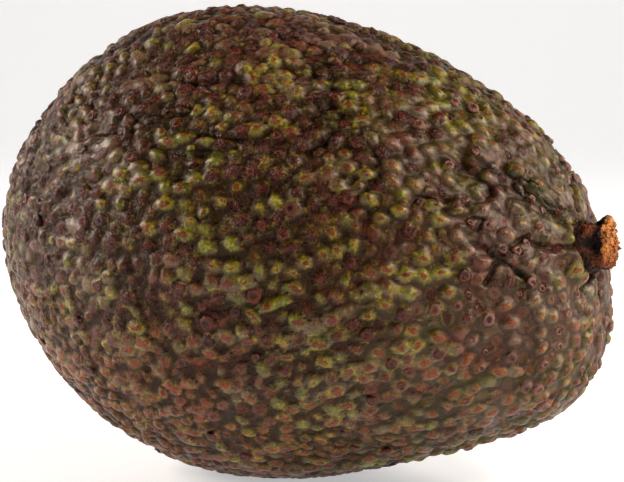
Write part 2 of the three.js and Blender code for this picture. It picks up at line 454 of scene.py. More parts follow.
class Kept(Enum):
    """Values that a piece keeps on its points for its material."""

    PLACE = "place"  # where the point is on the plain form, in millimetres
    FLOW = "flow"  # the same place, unrolled lengthwise from the stem
    CALM = "calm"  # 1 where the skin is smooth between few warts, 0 where it is crowded
    CREASE = "crease"  # distance from the nearest crease near the stem, in millimetres
    RIM = "rim"  # on a cork cap, 0 in the middle and 1 at the edge
    TONE = "tone"  # on a cork cap, a random number
    END = "end"  # on the stub, 0 on the bark and 1 on the broken end
    RAISED = "raised"  # on the stub, 1 on a lump and -1 in a hollow

    def write(self, mesh: bpy.types.Mesh, values: list[float]) -> None:
        """Keeps a number on each point of a mesh."""
        mesh.attributes.new(self.value, "FLOAT", "POINT").data.foreach_set("value", values)

    def read(self, graph: "Graph", output: str = "Fac") -> Wire:
        """Returns the value in a material. The output is "Vector" for a place."""
        return graph.attribute(self.value, output)


@dataclass(frozen=True)
class Flow:
    """Lumps and furrows that run lengthwise over the skin and draw together at the stem. Millimetres."""

    lump_grain: float = 4.6
    ridge_grain: float = 8.0  # of the broader lumps where the skin is calm
    lump_height: float = 1.6
    furrow_grain: float = 8.0
    furrow_depth: float = 0.5
    furrow_width: float = 0.08  # how far the noise may be from its middle value in a furrow
    furrow_line: float = 0.03  # the same for the painted shade at its bottom
    furrow_patches: Band = (0.47, 0.56)  # noise from which there are furrows at all
    furrow_patch_grain: float = 11.0
    furrow_high: Band = (34.0, 46.0)  # above the floor
    calm_from: Band = (12.0, 32.0)  # along X, where the skin begins to be calm and where it is
    calm_wander: float = 30.0  # how far that border wanders to and fro
    calm_grain: float = 16.0
    calm_ridges: float = 0.7  # how much of the calm skin's lumps are the broader ones
    stretch: float = 0.42  # how much shorter the flow is than the skin, lengthwise
    end_radius: float = 10.0  # radius that the unrolled skin keeps at its two ends
    girth_radius: float = 34.0
    half_length: float = 50.0

    def unroll(self, graph: Graph, unit: Wire, stem: Vector) -> tuple[Wire, Wire]:
        """Unrolls the skin lengthwise from the stem.

        Args:
            graph: The tree to add the nodes to.
            unit: The unit vector of each point of the skin.
            stem: The unit vector of the stem's spot.

        Returns:
            The place on the unrolled skin in millimetres, and the direction towards the stem.
        """
        pole = tuple(stem)
        along = graph.math("DOT_PRODUCT", unit, pole)
        across = graph.math("NORMALIZE", unit - graph.math("SCALE", pole, along))
        angle = graph.math("ARCCOSINE", along)
        radius = self.end_radius + graph.math("SINE", angle) * (self.girth_radius - self.end_radius)
        place = graph.math("SCALE", across, radius)
        lengthwise = graph.math("SCALE", pole, angle * (self.half_length / (math.pi / 2) * self.stretch))
        return place + lengthwise, graph.math("NORMALIZE", pole - graph.math("SCALE", unit, along))

    def calm(self, graph: Graph, place: Wire) -> Wire:
        """Finds where the skin is calm.

        Args:
            graph: The tree to add the nodes to.
            place: Place on the plain form.

        Returns:
            1 near the stem and 0 elsewhere, with a wandering border.
        """
        x, _, _ = graph.parts(place)
        border = graph.noise(place + (0.0, 0.0, 50.0), self.calm_grain, 1.0)
        return graph.step(x + (border - 0.5) * self.calm_wander, *self.calm_from)

    def lumps(self, graph: Graph, flow: Wire, calm: Wire) -> Wire:
        """Makes the lumps, as noise on the unrolled skin.

        Args:
            graph: The tree to add the nodes to.
            flow: Place on the unrolled skin.
            calm: How calm the skin is, where the lumps are broader.

        Returns:
            The lumps, nought to one.
        """
        crowded = graph.noise(flow, self.lump_grain, 2.0)
        ridges = graph.noise(flow + (0.0, 0.0, 90.0), self.ridge_grain, 1.0)
        return graph.between(calm * self.calm_ridges, crowded, ridges)

    def furrow(self, graph: Graph, flow: Wire, place: Wire, width: float) -> Wire:
        """Makes the furrows, which run lengthwise on the upper side.

        Args:
            graph: The tree to add the nodes to.
            flow: Place on the unrolled skin.
            place: Place on the plain form.
            width: How far the noise may be from its middle value there.

        Returns:
            1 along the furrows, 0 beside them.
        """
        wave = graph.noise(flow + (30.0, 0.0, 0.0), self.furrow_grain, 2.0)
        patch = graph.noise(place + (0.0, 0.0, 70.0), self.furrow_patch_grain, 1.0)
        some = graph.step(patch, *self.furrow_patches)
        some = some * graph.step(graph.parts(place)[2], *self.furrow_high)
        return graph.step(graph.math("ABSOLUTE", wave - 0.5), width, 0.0) * some


# Where two noises of one kind must not follow each other, one is read at a shifted place
FLOW = Flow()


@dataclass(frozen=True)
class WartLayer:
    """Warts of one size class, strewn over the plain form. Millimetres."""

    name: str
    spacing: float  # least distance between two warts
    reach: float  # least reach of a wart
    reach_spread: float
    height: float  # least height
    height_spread: float
    top: float  # share of its reach that is its flat top
    seed: int
    aim: float = 0.5  # how much the warts lie towards the stem
    astray: float = 1.6  # how far they turn from that
    stretch: float = 0.35  # how much longer than wide they are
    calm_shrink: float = 0.15  # how much smaller they are where the skin is calm
    calm_missing: Band = (0.45, 0.2)  # size below which they are missing there, nought to one

    def points(self, tree: "GeometryTree", form: Wire) -> tuple[Wire, Wire, bpy.types.Node]:
        """Strews the warts' middles over the plain form.

        Args:
            tree: The tree to add the nodes to.
            form: The plain form, as geometry.

        Returns:
            The middles, their random numbers, and the node that strews them.
        """
        spacing = tree.size(f"{self.name} Wart Spacing", self.spacing * MM)
        settings = {"distribute_method": "POISSON"}
        inputs = {"Mesh": form, "Distance Min": spacing, "Density Max": 1.2e6, "Seed": self.seed}
        strewn = tree.node("GeometryNodeDistributePointsOnFaces", settings, inputs)
        return tree.wire(strewn), tree.random(self.seed), strewn

    def strew(
        self,
        tree: "GeometryTree",
        form: Wire,
        place: Wire,
        stemward: Wire,
    ) -> tuple[Wire, Wire, Wire]:
        """Finds the wart that each point of the skin belongs to.

        Args:
            tree: The skin's tree.
            form: The plain form, as geometry.
            place: Where each point of the skin looks for its wart, in metres.
            stemward: The direction towards the stem.

        Returns:
            The way from the wart's middle in millimetres, the wart's three random numbers, and 1 on
            points by the line where two warts meet, 0 elsewhere.
        """
        warts, lots, _ = self.points(tree, form)
        nearest = {0: warts, "Sample Position": place}
        index = tree.wire(tree.node("GeometryNodeSampleNearest", None, nearest))
        lot = tree.sample(warts, lots, index)
        middle = tree.sample(warts, tree.position(), index)
        away = (place - middle) / MM
        lie = tree.math("NORMALIZE", stemward * self.aim + (lot - (0.5, 0.5, 0.5)) * self.astray)
        along = tree.math("DOT_PRODUCT", away, lie)
        return away - lie * (along * self.stretch), lot, tree.beside_change(index)

    def dome(self, graph: Graph, away: Wire, lot: Wire, calm: Wire) -> tuple[Wire, Wire]:
        """Shapes a wart.

        Args:
            graph: The tree to add the nodes to.
            away: Distance from the wart's middle in millimetres.
            lot: The wart's random numbers: its size, its height and its kind.
            calm: How calm the skin is, where small warts are missing.

        Returns:
            The distance as a share of the wart's reach, and the height in millimetres.
        """
        size, tall, _ = graph.parts(lot)
        share = away / ((self.reach + size * self.reach_spread) * (1.0 - calm * self.calm_shrink))
        missing = calm * graph.step(size, *self.calm_missing)
        height = (self.height + tall * self.height_spread) * (1.0 - missing)
        return share, graph.step(share, 1.0, self.top) * height


BIG_WARTS = WartLayer("Big", 2.1, 1.15, 0.65, 0.5, 0.65, 0.2, 3)
SMALL_WARTS = WartLayer("Small", 1.25, 0.55, 0.3, 0.25, 0.35, 0.2, 11)
CAPPED_FROM = 0.5  # warts whose kind is above this carry a cap of cork
WART_BLEND = 0.1  # height over which a small wart runs into a big one, in millimetres


@dataclass(frozen=True)
class SkinRegions:
    """Where the skin's tones change: where each begins and where it is full. Millimetres."""

    middle: float = -2.0  # of the fruit, along X
    ends: Band = (20.0, 42.0)  # lengthwise from that
    high: Band = (46.0, 66.0)  # above the floor, as the next two
    low: Band = (36.0, 18.0)
    under: Band = (30.0, 12.0)
    by_stem: Band = (26.0, 40.0)  # along X, as the next
    ripe: Band = (22.0, -4.0)
    shoulder: Band = (78.0, 88.0)  # along X and up, added together
    ends_wander: float = 40.0  # how far their borders wander to and fro
    low_wander: float = 24.0
    shoulder_wander: float = 20.0
    top_painted_light: float = 0.6  # how much paler the top is painted, as painted light from above, nought to one


class SkinMap:
    """What the skin's material reads at each point: its place, its warts, its noises and its regions."""

    # Grains of the noises, in millimetres
    SAND = 0.3
    CRUMBS = 0.9
    PATCHES = 3.4
    REGIONS = 24.0
    # How high a wart is by the line where it meets another, nought to one
    MEETING_HEIGHT = 0.6

    def __init__(self, graph: Graph, regions: SkinRegions) -> None:
        """Reads it all.

        Args:
            graph: The material's tree.
            regions: Where the tones change.
        """
        self.place = Kept.PLACE.read(graph, "Vector")
        self.flow = Kept.FLOW.read(graph, "Vector")
        self.calm = Kept.CALM.read(graph)
        self.big, self.big_height, self.kind = self._wart(graph, BIG_WARTS)
        self.small, self.small_height, self.small_kind = self._wart(graph, SMALL_WARTS)
        self.height = graph.math("SMOOTH_MAX", self.big_height, self.small_height, WART_BLEND)
        self.fine = graph.noise(self.place, self.CRUMBS, 3.0, 0.6)
        self.grain = graph.noise(self.place, self.SAND, 2.0, 0.6)
        self.patch = graph.noise(self.place + (9.0, 0.0, 0.0), self.PATCHES, 2.0)
        self.region = graph.noise(self.place, self.REGIONS, 2.0)
        self.lumps = FLOW.lumps(graph, self.flow, self.calm)
        self.ragged = (self.fine - 0.5) * 0.8
        x, _, z = graph.parts(self.place)
        wander = self.region - 0.5
        off_middle = graph.math("ABSOLUTE", x - regions.middle)
        self.ends = graph.step(off_middle + wander * regions.ends_wander, *regions.ends)
        self.high = graph.step(z, *regions.high)
        self.low = graph.step(z + wander * regions.low_wander, *regions.low)
        self.under = graph.step(z, *regions.under)
        self.by_stem = graph.step(x, *regions.by_stem)
        self.ripe = graph.step(x, *regions.ripe)
        self.shoulder = graph.step(x + z + wander * regions.shoulder_wander, *regions.shoulder)
        # Pale at the ends and where the skin is calm, and on top as painted light from above
        pale = graph.math("MAXIMUM", self.ends, self.calm)
        self.pale = graph.math("MAXIMUM", pale, self.high * regions.top_painted_light)

    def _wart(self, graph: Graph, layer: WartLayer) -> tuple[Wire, Wire, Wire]:
        """Reads a layer of warts again.

        Args:
            graph: The material's tree.
            layer: The layer of warts.

        Returns:
            The distance from the wart's middle as a share of its reach, its height and its kind.
        """
        name = layer.name.lower()
        lot = graph.attribute(f"{name}_lot")
        near = graph.math("LENGTH", graph.attribute(f"{name}_away"))
        rough = graph.attribute(f"{name}_distance", "Fac")
        # Where two warts meet, the way to the middle turns round inside one face, so its length is left out
        meeting = graph.attribute(f"{name}_meeting", "Fac")
        share, height = layer.dome(graph, graph.between(meeting, near, rough), lot, self.calm)
        height = height * graph.between(meeting, 1.0, self.MEETING_HEIGHT)
        return share, height, graph.parts(lot)[2]


@dataclass(frozen=True)
class SkinFinish:
    """The skin: brown and olive under a warm waxy sheen, partly painted, with green and rust on its warts.
    """

    brown: Colour = srgb(82, 35, 14)
    olive: Colour = srgb(66, 56, 10)
    purple: Colour = srgb(98, 74, 66)
    sage: Colour = srgb(86, 82, 36)
    # Partly the skin's own waxy bloom, partly a painted sheen
    wax_and_sheen: Colour = srgb(110, 90, 74)
    green: Colour = srgb(104, 108, 8)
    leaf: Colour = srgb(56, 66, 6)
    moss: Colour = srgb(96, 88, 20)
    rust: Colour = srgb(88, 22, 2)
    glow: Colour = srgb(138, 96, 12)
    scab: Colour = srgb(100, 50, 28)
    brick: Colour = srgb(108, 46, 14)
    fleck: Colour = srgb(134, 122, 16)
    cork: Colour = srgb(42, 13, 6)
    crust: Colour = srgb(82, 24, 6)
    painted_wart_light: Colour = (1.2, 1.2, 1.2)  # painted light: what the colour is multiplied by on a wart
    painted_hollow_shade: Colour = (0.34, 0.19, 0.08)  # painted shade: the same in a hollow
    wax_tint: Colour = (1.0, 0.7, 0.5)
    roughness: float = 0.36
    specular: float = 0.2
    sheen: Band = (0.5, 0.05)  # on the warts, and in the hollows between them
    sheen_roughness: float = 0.37
    cover: float = 0.8  # how much a layer of paint hides of the one below
    tip_cover: float = 0.9  # the same on a wart's tip
    speckle: Band = (0.68, 1.3)  # what the colour is multiplied by in dark and in pale grains
    painted_foot_shadow: float = 0.45  # painted shadow: the same at the foot of a wart
    painted_groove_shade: float = 0.26  # painted shade: the same in a crease or a furrow
    painted_middle_shade: float = 0.85  # painted shade: the same where the skin isn't pale, over the fruit's middle
    crease_line: Band = (0.62, 0.05)  # millimetres from a crease, where its painted shade begins and is full
    crease_ragged: float = 0.5  # how ragged that line is, in millimetres
    hollow_line: Band = (0.45, 0.05)  # height in millimetres, where a hollow and its painted shade begin and are full
    blush_and_bounce_light: Colour = (1.22, 1.05, 0.92)  # how the low skin at the blossom end is warmed: partly its redder tone, partly painted light from the floor

    def _ground(self, graph: Graph, at: SkinMap) -> Wire:
        """Paints the bare skin: brown and olive, a purple or sage haze, and a waxy bloom, partly painted
        sheen.

        Args:
            graph: The material's tree.
            at: What it reads at each point.

        Returns:
            The colour.
        """
        colour = graph.paint(graph.step(at.region * 0.5 + at.patch, 0.62, 0.86), self.brown, self.olive)
        sage = graph.noise(at.place + (0.0, 9.0, 0.0), 9.0, 2.0) - at.by_stem * 0.12 + at.low * 0.1
        hazy = graph.paint(graph.step(sage, 0.42, 0.54), self.purple, self.sage)
        haze = graph.math("MAXIMUM", at.pale, at.low * 0.4) * graph.step(at.patch, 0.3, 0.6)
        colour = graph.paint(haze * self.cover, colour, hazy)
        # Pale wax on the lumps and the low skin: partly waxy bloom, partly a painted sheen, stronger at the
        # ends
        wax_and_sheen = graph.step(at.lumps + (at.fine - 0.5) * 0.5, 0.45, 0.75) * graph.step(at.height, 0.9, 0.2)
        return graph.paint(wax_and_sheen * (0.65 + at.ends * 0.2), colour, self.wax_and_sheen)

    def _greens(self, graph: Graph, at: SkinMap, colour: Wire) -> tuple[Wire, Wire]:
        """Adds the green warts and the yellow flecks.

        Args:
            graph: The material's tree.
            at: What it reads at each point.
            colour: The colour so far.

        Returns:
            The new colour, and how green the skin is, nought to one.
        """
        tinge = graph.noise(at.place + (40.0, 0.0, 0.0), 2.2, 2.0)
        tinge = tinge + graph.noise(at.place + (0.0, 40.0, 0.0), 13.0, 1.0) + (at.fine - 0.5) * 0.4
        tinge = tinge + (1.0 - at.ends) * 0.2 + at.shoulder * 0.18 + at.low * (1.0 - at.ripe) * 0.12
        tinge = tinge - at.high * 0.2 - at.under * 0.13
        green = graph.step(tinge, 0.98, 1.3)
        green = green * graph.step(at.height + (at.fine - 0.5) * 0.5 + at.shoulder * 0.5, 0.0, 0.5)
        fresh = graph.paint(at.ends * 0.7, self.green, self.moss)
        fresh = graph.paint(graph.step(at.patch, 0.4, 0.6), self.leaf, fresh)
        colour = graph.paint(green * self.cover, colour, fresh)
        fleck = graph.step(graph.noise(at.place + (0.0, 0.0, 20.0), 0.8, 1.0), 0.56, 0.66)
        fleck = fleck * graph.step(tinge, 0.95, 1.2) * (1.0 - at.ends * 0.7)
        return graph.paint(fleck * self.cover, colour, self.fleck), green

    def _tips(self, graph: Graph, at: SkinMap, green: Wire, colour: Wire) -> tuple[Wire, Wire]:
        """Adds the rusty tips of the warts, their glowing rims, their pits and their crusts.

        Args:
            graph: The material's tree.
            at: What it reads at each point.
            green: How green the skin is.
            colour: The colour so far.

        Returns:
            The new colour, and how rusty the skin is, nought to one.
        """
        small = graph.step(at.small + at.ragged, 0.65, 0.2) * graph.step(at.small_kind, 0.35, 0.55)
        small = small * graph.step(at.small_height - at.big_height, -0.05, 0.1)
        big = graph.step(at.big + at.ragged - at.low * 0.15, 0.45, 0.15)
        tip = graph.math("MAXIMUM", small, big * graph.step(at.kind - at.low * 0.05, 0.08, 0.2))
        rim = graph.step(graph.math("ABSOLUTE", tip - 0.4), 0.35, 0.05)
        rim = rim * graph.math("MAXIMUM", green, at.low * 0.6)
        colour = graph.paint(rim * self.tip_cover, colour, self.glow)
        rusty = graph.paint(at.low, graph.paint(at.pale * 0.8, self.rust, self.scab), self.brick)
        colour = graph.paint(graph.step(tip, 0.45, 0.8) * self.tip_cover, colour, rusty)
        pit = graph.step(at.big + at.ragged, 0.3, 0.1) * graph.step(at.kind, 0.45, 0.55)
        colour = graph.paint(pit * self.cover, colour, self.cork)
        crust = graph.step(at.big + at.ragged * 1.5, 0.75, 0.5) * (1.0 - at.low * 0.7)
        crust = crust * graph.step(at.kind + (0.5 - at.calm) * 0.2, 0.55, 0.65)
        crumbs = graph.step(at.fine * 0.7 + at.grain * 0.3, 0.42, 0.6)
        colour = graph.paint(crust, colour, graph.paint(crumbs, self.cork, self.crust))
        return colour, graph.math("MAXIMUM", tip * 0.6, crust)

    def _shade(self, graph: Graph, at: SkinMap, hollow: Wire, groove: Wire) -> Wire:
        """Shades the skin: speckles, painted shade and light, and a blush that is partly painted floor
        light.

        Args:
            graph: The material's tree.
            at: What it reads at each point.
            hollow: How far the skin is down between its warts, nought to one.
            groove: 1 in a crease or a furrow.

        Returns:
            What the colour is multiplied by.
        """
        speckle = graph.between(graph.step(at.grain, 0.35, 0.65), *self.speckle)
        speckle = graph.between(at.calm * 0.5, speckle, 1.0)
        # A painted contact shadow in a ring round the foot of each big wart
        foot = graph.step(graph.math("ABSOLUTE", at.big + at.ragged * 0.3 - 1.0), 0.3, 0.1)
        shade = speckle * graph.between(foot, 1.0, self.painted_foot_shadow)
        # Painted shade over the fruit's middle, where the skin isn't pale
        shade = shade * graph.between(at.pale, self.painted_middle_shade, 1.0)
        # Painted shade in the creases and furrows
        shade = shade * graph.between(groove, 1.0, self.painted_groove_shade)
        # Painted shade in the hollows between the warts, painted light on the warts
        shade = graph.paint(hollow, self.painted_wart_light, self.painted_hollow_shade) * shade
        # A blush on the low skin at the blossom end, partly painted light bounced from the floor
        return shade * graph.paint(at.low * at.ripe, (1.0, 1.0, 1.0), self.blush_and_bounce_light)

    def make(self) -> bpy.types.Material:
        """Mixes the skin's material.

        Returns:
            The material.
        """
        graph = MaterialTree("skin")
        at = SkinMap(graph, SkinRegions())
        colour, green = self._greens(graph, at, self._ground(graph, at))
        colour, rust = self._tips(graph, at, green, colour)
        # How low the skin lies between its warts; it sets the painted hollow shade and the sheen
        hollow = graph.step(at.height + (at.lumps - 0.5) * 0.8, *self.hollow_line)
        hollow = hollow * (0.95 - at.calm * 0.3)
        crease = Kept.CREASE.read(graph) + (at.fine - 0.5) * self.crease_ragged
        crease = graph.step(crease, *self.crease_line)
        groove = graph.math("MAXIMUM", crease, FLOW.furrow(graph, at.flow, at.place, FLOW.furrow_line))
        relief = ((at.grain - 0.5) * 0.2 + (at.fine - 0.5) * 0.25) * (1.0 - at.calm * 0.5)
        relief = relief + rust * (at.grain - 0.5) * 0.6 + at.height * 0.7 - groove * 0.4
        looks = {
            "Base Color": colour * self._shade(graph, at, hollow, groove),
            "Roughness": self.roughness - rust * 0.12 + at.calm * 0.1 + (at.fine - 0.5) * 0.25,
            "Specular IOR Level": self.specular,
            "Specular Tint": (*self.wax_tint, 1.0),
            "Coat Weight": graph.between(hollow, *self.sheen) * (1.0 - groove) * (1.0 - rust * 0.65),
            "Coat Roughness": self.sheen_roughness,
        }
        return graph.finish(looks, relief)


@dataclass(frozen=True)
class CorkFinish:
    """The cork caps: dark red-brown crusts with black pits and rusty edges."""

    dark: Colour = srgb(44, 13, 6)
    red: Colour = srgb(84, 29, 8)
    pink: Colour = srgb(128, 92, 78)
    pit: Colour = srgb(34, 12, 5)
    roughness: float = 0.3
    specular: float = 0.3
    pale_from: Band = (24.0, 38.0)  # millimetres from the middle, lengthwise
    pale_wander: float = 16.0
    mottle: Band = (0.5, 1.5)  # what the colour is multiplied by in dark and in pale grains

    def make(self) -> bpy.types.Material:
        """Mixes the cork's material.

        Returns:
            The material.
        """
        graph = MaterialTree("cork")
        place = graph.object_place()
        rim = Kept.RIM.read(graph)
        tone = Kept.TONE.read(graph)
        fine = graph.noise(place, 0.5, 3.0, 0.6)
        grain = graph.noise(place, 0.22, 2.0)
        x, _, _ = graph.parts(place)
        off_middle = graph.math("ABSOLUTE", x) + (tone - 0.5) * self.pale_wander
        pale = graph.step(off_middle, *self.pale_from)
        colour = graph.paint(graph.step(fine + tone * 0.3, 0.5, 0.8), self.dark, self.red)
        colour = graph.paint(pale * graph.step(rim + (fine - 0.5) * 0.6, 0.3, 0.6) * 0.8, colour, self.pink)
        pit = graph.step(rim + (fine - 0.5) * 0.4, 0.42, 0.15)
        colour = graph.paint(pit, colour, self.pit) * graph.between(grain, *self.mottle)
        detail = (fine - 0.5) * 0.3 + (grain - 0.5) * 0.15
        looks = {"Roughness": self.roughness, "Specular IOR Level": self.specular}
        return graph.finish(looks | {"Base Color": colour}, detail)


@dataclass(frozen=True)
class StubFinish:
    """The stub: crumbly dark bark with reddish lumps, and a tan, fibrous broken end."""

    # Partly the bark's own dark patches, partly painted shade in its hollows
    dark: Colour = srgb(30, 14, 8)
    bark: Colour = srgb(96, 50, 27)
    lump: Colour = srgb(116, 54, 32)
    fibre: Colour = srgb(204, 134, 68)
    fibre_shaded_below: Colour = srgb(134, 68, 32)
    fibre_dark: Colour = srgb(84, 38, 15)
    roughness: float = 0.8
    specular: float = 0.3
    tan_from: Band = (33.5, 39.0)  # millimetres above the floor, where the fibres turn from dark to tan, as painted shade below and light above
    tan_wander: float = 8.0
    mottle: Band = (0.5, 1.5)  # what the colour is multiplied by in dark and in pale grains

    def make(self) -> bpy.types.Material:
        """Mixes the stub's material.

        Returns:
            The material.
        """
        graph = MaterialTree("stem")
        place = graph.object_place()
        torn = Kept.END.read(graph)
        _, _, z = graph.parts(place)
        raised = Kept.RAISED.read(graph)
        grain = graph.noise(place, 0.45, 3.0, 0.6)
        crumb = graph.noise(place, 1.1, 3.0, 0.6)
        # Dark in crumbly patches and, as painted shade, in the bark's hollows
        colour = graph.paint(graph.step(crumb + raised * 0.25, 0.42, 0.66), self.dark, self.bark)
        colour = graph.paint(graph.step(raised + (grain - 0.5) * 0.9, 0.35, 0.9), colour, self.lump)
        # Painted shade low on the end and painted light high on it, by height above the floor
        tan = graph.step(z + (crumb - 0.5) * self.tan_wander, *self.tan_from)
        tan = graph.paint(tan, self.fibre_shaded_below, self.fibre)
        fibre = graph.paint(graph.step(grain * 0.6 + crumb * 0.6, 0.48, 0.68), self.fibre_dark, tan)
        colour = graph.paint(graph.step(torn + (crumb - 0.5) * 0.9, 0.35, 0.65), colour, fibre)
        colour = colour * graph.between(grain, *self.mottle)
        detail = (grain - 0.5) * 0.8 + (crumb - 0.5) * 0.7
        looks = {"Roughness": self.roughness, "Specular IOR Level": self.specular}
        return graph.finish(looks | {"Base Color": colour}, detail)


@dataclass
class Fruit:
    """The avocado's body. The plain form's sizes are those of the CAD model."""

    length: float = 95.5 * MM
    girth: float = 69.4 * MM
    taper: tuple[float, float, float] = (-0.17, -0.05, 0.14)
    bow: tuple[float, float, float] = (2.1 * MM, 1.75 * MM, 6.8 * MM)
    nose_down: float = math.radians(11)
    middle: Vector = field(default_factory=lambda: Vector((-1.05, -0.08, 32.14)) * MM)
    stem_spot: Vector = field(default_factory=lambda: Vector((0.918, -0.131, 0.376)).normalized())
    divisions: int = 127  # of each edge of the cube that the mesh starts from
    rest_spot: tuple[float, float] = (-4 * MM, 0.0)
    rest_radius: float = 6.5 * MM
    rest_edge: Band = (1.1, 0.95)  # where the flat spot begins and is full, in shares of its radius
    rest_height: Band = (8 * MM, 4 * MM)  # above the floor, as skin further up isn't pressed flat
    highest: float = 0.77 * MM  # above the plain form, for a wart or a lump
    dimple_depth: float = 0.7 * MM
    dimple_reach: float = 6.5 * MM
    lip_height: float = 0.4 * MM
    lip_lean: float = 1.5 * MM  # how much higher the lip is on the side that faces -Y
    lip_radius: float = 4.9 * MM
    lip_width: float = 1.6 * MM
    stem_fade: Band = (4.0 * MM, 14.0 * MM)  # from the stem, where the warts reach their full height
    stem_relief: float = 0.45  # share of their height that they have at the stem
    wart_bend: float = 1.4 * MM  # how far the warts' outlines wander
    calm_bend: float = 0.5 * MM  # how much less where the skin is calm
    bend_grain: float = 1.5  # in millimetres
    pebble_height: float = 0.8  # what the warts' height is multiplied by
    lump_swell: float = 1.2  # how much higher the warts are on a lump
    crumple: float = 0.7  # how unevenly the warts are crumpled
    calm_crumple: float = 0.5  # how much less where the skin is calm
    crumple_grain: float = 1.4  # in millimetres
    pocket_radius: float = 3.95 * MM
    pocket_edge: Band = (1.08, 0.92)  # in shares of its radius
    pocket_depth: float = 2.0 * MM
    crease_width: float = 0.62 * MM
    crease_depth: float = 1.0 * MM
    crease_relief: float = 0.7  # how much lower the warts are in a crease
    crease_wander: float = 2.0 * MM
    crease_grain: float = 4.0  # of its wander, in millimetres
    crease_steps: int = 6  # of a crease's line between two of its points
    # Runs of [degrees round the stem, millimetres from it]: nought is up, 90 the side that faces -Y
    creases: tuple[tuple[tuple[float, float], ...], ...] = (
        ((42, 4.5), (48, 8), (48, 11), (50, 14), (48, 16), (44, 18.5)),
        ((93, 4.5), (93, 9.5), (92, 12), (90, 14.5), (87, 16), (93, 19), (98, 21.5)),
        ((90, 25.5), (93, 23.5), (98, 21.5), (102, 20), (107, 18)),
        ((98, 21.5), (102, 23.5), (108, 25.5)),
        ((177, 4), (151, 8)),
        ((208, 6), (211, 10), (217, 14.5)),
        ((285, 5), (276, 12), (284, 18)),
        ((340, 5), (330, 13)),
    )

    def form_point(self, unit: Vector) -> Vector:
        """Finds a point of the plain form.

        Args:
            unit: The unit vector that the point comes from.

        Returns:
            The point, in the part's frame.
        """
        x = unit.x
        girth = 1 + self.taper[0] * x + self.taper[1] * x**2 + self.taper[2] * x**3
        rise = (1 - x**2) * (self.bow[0] + self.bow[1] * x + self.bow[2] * x**2)
        radius = self.girth / 2 * girth
        point = Vector((self.length / 2 * x, radius * unit.y, rise + radius * unit.z))
        return Matrix.Rotation(self.nose_down, 3, "Y") @ point + self.middle

    def around_stem(self, degrees: float, distance: float) -> Vector:
        """Finds a place near the stem.

        Args:
            degrees: Turn round the stem. Nought is up, 90 the side that faces -Y.
            distance: Distance from the stem in millimetres.

        Returns:
            The unit vector that the place comes from.
        """
        mean_radius = (self.length + self.girth) / 4 / MM
        up = (Vector((0, 0, 1)) - self.stem_spot * self.stem_spot.z).normalized()
        side = up.cross(self.stem_spot)
        turn = math.radians(degrees)
        reach = distance / mean_radius
        across = up * math.cos(turn) - side * math.sin(turn)
        return self.stem_spot * math.cos(reach) + across * math.sin(reach)

    def crease_lines(self) -> bpy.types.Mesh:
        """Draws the creases.

        Returns:
            A mesh of edges that follow the plain form.
        """
        points: list[Vector] = []
        edges: list[tuple[int, int]] = []
        for run in self.creases:
            for (turn_a, far_a), (turn_b, far_b) in zip(run, run[1:]):
                for i in range(self.crease_steps + 1):
                    share = i / self.crease_steps
                    turn = turn_a + (turn_b - turn_a) * share
                    far = far_a + (far_b - far_a) * share
                    points.append(self.form_point(self.around_stem(turn, far)))
                    if i:
                        edges.append((len(points) - 2, len(points) - 1))
        mesh = bpy.data.meshes.new("creases")
        mesh.from_pydata(points, edges, [])
        return mesh

    def plain_form(self, tree: GeometryTree) -> tuple[Wire, Wire]:
        """Builds the plain form, without its warts.

        Args:
            tree: The tree to add the nodes to.

        Returns:
            The form, as geometry, and the unit vector that each of its points comes from.
        """
        length = tree.size("Length", self.length)
        girth = tree.size("Girth", self.girth)
        nose_down = tree.size("Nose Down", self.nose_down)
        count = self.divisions + 1
        inputs = {"Size": (2.0, 2.0, 2.0), "Vertices X": count, "Vertices Y": count, "Vertices Z": count}
        ball = tree.wire(tree.node("GeometryNodeMeshCube", None, inputs))
        unit = tree.math("NORMALIZE", tree.math("TANGENT", tree.position() * (math.pi / 4)))
        ball = tree.store(ball, "unit", unit)
        unit = tree.named("unit", "FLOAT_VECTOR")
        x, y, z = tree.parts(unit)
        taper = 1.0 + x * (self.taper[0] + x * (self.taper[1] + x * self.taper[2]))
        bow = (1.0 - x * x) * (self.bow[0] + x * (self.bow[1] + x * self.bow[2]))
        radius = girth * taper / 2.0
        upright = tree.vector(length / 2.0 * x, radius * y, bow + radius * z)
        inputs = {"Vector": upright, "Axis": (0.0, 1.0, 0.0), "Angle": nose_down}
        tilted = tree.wire(tree.node("ShaderNodeVectorRotate", {"rotation_type": "AXIS_ANGLE"}, inputs))
        return tree.place(ball, tilted + tuple(self.middle)), unit

    def _creased(self, tree: GeometryTree, form: Wire, place: Wire) -> tuple[Wire, Wire]:
        """Finds how far the skin is from a crease.

        Args:
            tree: The skin's tree, which is given the lines of the creases.
            form: The plain form.
            place: Place on it, in millimetres.

        Returns:
            The form with that distance kept on it, and 1 in a crease, nought far from it.
        """
        width = tree.size("Crease Width", self.crease_width)
        wander = tree.noise_vector(place, self.crease_grain, 2.0) * self.crease_wander
        near = {"Geometry": tree.given, "Sample Position": tree.position() + wander}
        settings = {"target_element": "EDGES"}
        away = tree.wire(tree.node("GeometryNodeProximity", settings, near), "Distance")
        return tree.store(form, Kept.CREASE.value, away / MM), tree.bell(away, 0.0, width)

